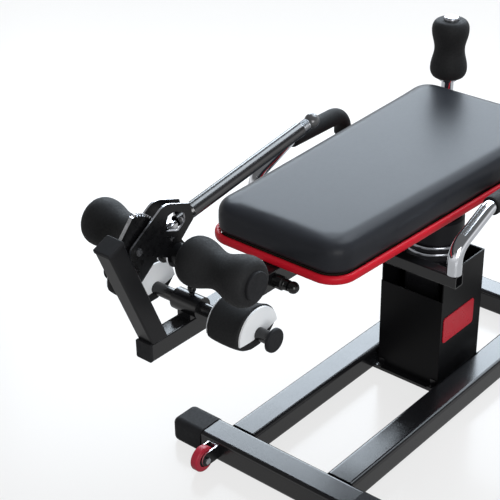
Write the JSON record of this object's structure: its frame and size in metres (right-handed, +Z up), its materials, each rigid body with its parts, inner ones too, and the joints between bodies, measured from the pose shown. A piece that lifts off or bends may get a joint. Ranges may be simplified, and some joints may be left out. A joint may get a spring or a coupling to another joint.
{
  "type": "roman chair",
  "caption": "Roman chair with a padded tilting bed on a column base, foam ankle rollers closed by a ratchet lever, side handles, head rollers and transport wheels",
  "frame": {"origin": "on the floor, under the middle of the machine's bounding box", "axes": "+X to the head end, +Y to the left side, +Z up"},
  "size_m": [1.1462, 0.464, 0.6749],
  "materials": {
    "frame_coat": "satin powder coat",
    "cap_plastic": "textured",
    "wheel_red": "smooth",
    "bolt_steel": "zinc plated",
    "chrome": "polished",
    "housing_coat": "gloss",
    "stripe_red": "smooth",
    "seat_leather": "glossy black",
    "trim_leather": "glossy red",
    "board": "raw",
    "foam": "fine-grained foam",
    "plate_white": "smooth",
    "knob_black": "gloss"
  },
  "bodies": {
    "base": {"front_crossbar": "frame_coat", "rear_crossbar": "frame_coat", "left_rail": "frame_coat", "right_rail": "frame_coat", "end_caps": "cap_plastic", "wheel_brackets": "bolt_steel", "wheel_bolts": "bolt_steel", "foot_plate": "frame_coat", "housing_shell": "housing_coat", "front_panel": "housing_coat", "side_stripes": "stripe_red", "column_post": "frame_coat", "column_drum": "cap_plastic", "drum_bands": "chrome", "yoke": "frame_coat", "tilt_shaft": "bolt_steel", "yoke_bolts": "bolt_steel"},
    "left_wheel": {"left_wheel_tyre": "wheel_red", "left_wheel_hub": "cap_plastic"},
    "right_wheel": {"right_wheel_tyre": "wheel_red", "right_wheel_hub": "cap_plastic"},
    "bed": {"seat_pad": "seat_leather", "pad_board": "board", "pad_trim": "trim_leather", "bed_spine": "frame_coat", "tilt_bearing": "frame_coat", "handle_crossbars": "frame_coat", "side_handles": "chrome", "left_handle_grip": "foam", "right_handle_grip": "foam", "head_crossbar": "frame_coat", "head_posts": "chrome", "post_caps": "bolt_steel", "pin_barrel": "cap_plastic"},
    "left_head_roller_body": {"left_head_roller": "foam"},
    "right_head_roller_body": {"right_head_roller": "foam"},
    "pop_pin_body": {"pop_pin": "knob_black"},
    "boom_body": {"boom": "frame_coat", "boom_end_cap": "cap_plastic", "ankle_arm": "frame_coat", "arm_top_cap": "cap_plastic", "toothed_sector": "bolt_steel", "ratchet_bolt": "bolt_steel", "axle_sleeve": "frame_coat"},
    "thumb_screw_body": {"thumb_screw": "knob_black"},
    "heel_bar": {"heel_axle": "frame_coat", "heel_caps": "cap_plastic", "left_heel_pad": "foam", "right_heel_pad": "foam", "heel_plates": "plate_white"},
    "clamp": {"clamp_plates": "frame_coat", "clamp_hub": "frame_coat", "foot_roller_axle": "frame_coat", "foot_roller_caps": "cap_plastic", "lever_tube": "chrome"},
    "knob_body": {"lever_knob": "knob_black"},
    "pawl_body": {"pawl": "chrome"},
    "left_foot_roller_body": {"left_foot_roller": "foam"},
    "right_foot_roller_body": {"right_foot_roller": "foam"}
  },
  "joints": [
    {"name": "left_wheel_spin", "type": "hinge", "parent": "base", "child": "left_wheel", "pos_m": [-0.2569, 0.1305, 0.0255], "axis": [0, 1, 0], "continuous": true},
    {"name": "right_wheel_spin", "type": "hinge", "parent": "base", "child": "right_wheel", "pos_m": [-0.2569, -0.1305, 0.0255], "axis": [0, 1, 0], "continuous": true},
    {"name": "bed_tilt", "type": "hinge", "parent": "base", "child": "bed", "pos_m": [0.2601, 0, 0.397], "axis": [0, 1, 0], "range_deg": [0, 35]},
    {"name": "left_head_roller_spin", "type": "hinge", "parent": "bed", "child": "left_head_roller_body", "pos_m": [0.4821, 0.1305, 0.575], "axis": [0, 0, 1], "continuous": true},
    {"name": "right_head_roller_spin", "type": "hinge", "parent": "bed", "child": "right_head_roller_body", "pos_m": [0.4821, -0.1305, 0.575], "axis": [0, 0, 1], "continuous": true},
    {"name": "pop_pin_pull", "type": "slide", "parent": "bed", "child": "pop_pin_body", "axis": [0, -1, 0], "range_m": [0, 0.012], "stiffness_N_per_m": 400, "springref_m": -0.01},
    {"name": "boom_slide", "type": "slide", "parent": "bed", "child": "boom_body", "axis": [1, 0, 0], "range_m": [-0.08, 0.1]},
    {"name": "thumb_screw_turn", "type": "hinge", "parent": "boom_body", "child": "thumb_screw_body", "pos_m": [-0.4059, -0.005, 0.486], "axis": [0, 0, 1], "range_deg": [-180, 180]},
    {"name": "heel_bar_turn", "type": "hinge", "parent": "boom_body", "child": "heel_bar", "pos_m": [-0.4059, 0, 0.469], "axis": [0, 1, 0], "range_deg": [-25, 25]},
    {"name": "clamp_swing", "type": "hinge", "parent": "boom_body", "child": "clamp", "pos_m": [-0.51498, 0, 0.607], "axis": [0, 1, 0], "range_deg": [-50, 8]},
    {"name": "left_foot_roller_spin", "type": "hinge", "parent": "clamp", "child": "left_foot_roller_body", "pos_m": [-0.43898, 0.089, 0.572], "axis": [0, 1, 0], "continuous": true},
    {"name": "right_foot_roller_spin", "type": "hinge", "parent": "clamp", "child": "right_foot_roller_body", "pos_m": [-0.43898, -0.089, 0.572], "axis": [0, 1, 0], "continuous": true},
    {"name": "knob_pull", "type": "slide", "parent": "clamp", "child": "knob_body", "axis": [0.988, 0, 0.1547], "range_m": [0, 0.0038], "stiffness_N_per_m": 600, "springref_m": -0.012},
    {"name": "pawl_turn", "type": "hinge", "parent": "clamp", "child": "pawl_body", "pos_m": [-0.44698, 0, 0.597], "axis": [0, 1, 0], "range_deg": [0, 15.2]}
  ],
  "couplings": [
    {"joint": "pawl_turn", "follows": "knob_pull", "rad_per_m": 68.9}
  ]
}
